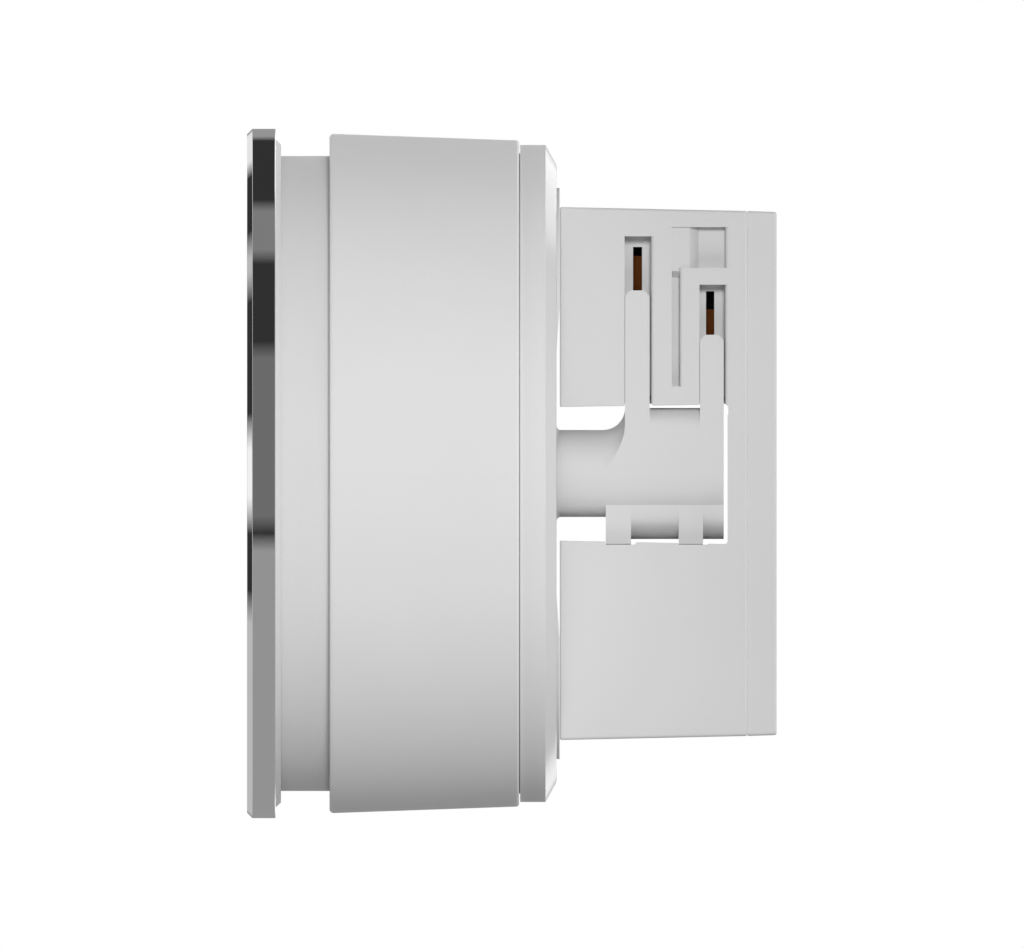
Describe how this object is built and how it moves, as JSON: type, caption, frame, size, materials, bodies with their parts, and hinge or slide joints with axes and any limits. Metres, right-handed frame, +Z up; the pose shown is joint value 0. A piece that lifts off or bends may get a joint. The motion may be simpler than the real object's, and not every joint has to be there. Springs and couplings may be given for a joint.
{
  "type": "wall thermostat",
  "caption": "Round wall thermostat: a polished push-in front, a turning setpoint ring, and a slim plug-in adapter locked by a quarter turn of its armed shaft.",
  "frame": {"origin": "on the turning axis, in the plane of the wall's surface where the adapter enters it", "axes": "+Y into the wall along the turning axis, -Y out to the user, +Z up along the adapter's long side, +X to the user's right"},
  "size_m": [0.084, 0.0645, 0.084],
  "materials": {
    "white_shell": "fine moulded grain",
    "adapter_white": "satin moulded",
    "polished_rim": "mirror polish",
    "smoked_glass": "polished, dark printed back",
    "black_foam": "foam",
    "display_black": "gloss",
    "diffuser": "frosted",
    "led_chip": "moulded",
    "circuit_board": "solder mask",
    "steel": "zinc plated",
    "spring_wire": "drawn",
    "slide_plastic": "acetal",
    "gear_plastic": "acetal",
    "chassis_plastic": "moulded",
    "black_plastic": "moulded",
    "blue_case": "moulded",
    "can_metal": "bare",
    "terminal_green": "moulded",
    "wire_skin": "extruded",
    "copper": "aged copper strip",
    "flex_film": "polyimide film"
  },
  "bodies": {
    "adapter": {"adapter_body": "adapter_white", "adapter_cover": "adapter_white", "cover_screws": "steel", "near_contact_blades": "copper", "far_contact_blades": "copper"},
    "base": {"base_plate": "white_shell", "seat_pads": "white_shell", "lock_shaft": "adapter_white", "arm_contacts": "copper", "chassis": "chassis_plastic", "chassis_screws": "steel", "slide_ring": "slide_plastic", "ring_retainer": "chassis_plastic", "retainer_screws": "steel", "main_board": "circuit_board", "board_screws": "steel", "encoder_body": "black_plastic", "switch_body": "black_plastic", "relay": "blue_case", "power_module": "black_plastic", "capacitors": "can_metal", "terminal_block": "terminal_green", "shaft_wires": "wire_skin", "microcontroller": "black_plastic", "radio_module": "can_metal", "buzzer": "black_plastic", "backup_cell": "can_metal", "cell_holder": "black_plastic", "temperature_sensor": "display_black", "flex_connector": "slide_plastic", "display_flex": "flex_film"},
    "ring": {"setpoint_ring": "white_shell", "ring_gear": "gear_plastic"},
    "pinion": {"encoder_pinion": "gear_plastic"},
    "head": {"bezel_ring": "polished_rim", "cover_glass": "smoked_glass", "glass_gasket": "black_foam", "display_panel": "display_black", "panel_frame": "black_plastic", "light_guide": "diffuser", "indicator_leds": "led_chip", "display_board": "circuit_board", "head_housing": "white_shell", "head_screws": "steel", "return_springs": "spring_wire"},
    "plunger": {"switch_plunger": "slide_plastic"}
  },
  "joints": [
    {"name": "lock_turn", "type": "hinge", "parent": "adapter", "child": "base", "pos_m": [0, 0, 0], "axis": [0, 1, 0], "range_deg": [0, 90]},
    {"name": "setpoint_turn", "type": "hinge", "parent": "base", "child": "ring", "pos_m": [0, 0, 0], "axis": [0, 1, 0], "continuous": true},
    {"name": "encoder_turn", "type": "hinge", "parent": "base", "child": "pinion", "pos_m": [0, 0, -0.0288], "axis": [0, 1, 0], "continuous": true},
    {"name": "head_press", "type": "slide", "parent": "base", "child": "head", "axis": [0, 1, 0], "range_m": [0, 0.0004], "stiffness_N_per_m": 3000, "springref_m": -0.0006, "deforming": ["return_springs"]},
    {"name": "plunger_press", "type": "slide", "parent": "base", "child": "plunger", "axis": [0, 1, 0], "range_m": [0, 0.0004]}
  ],
  "couplings": [
    {"joint": "encoder_turn", "follows": "setpoint_turn", "ratio": 4.6},
    {"joint": "plunger_press", "follows": "head_press", "ratio": 1}
  ]
}
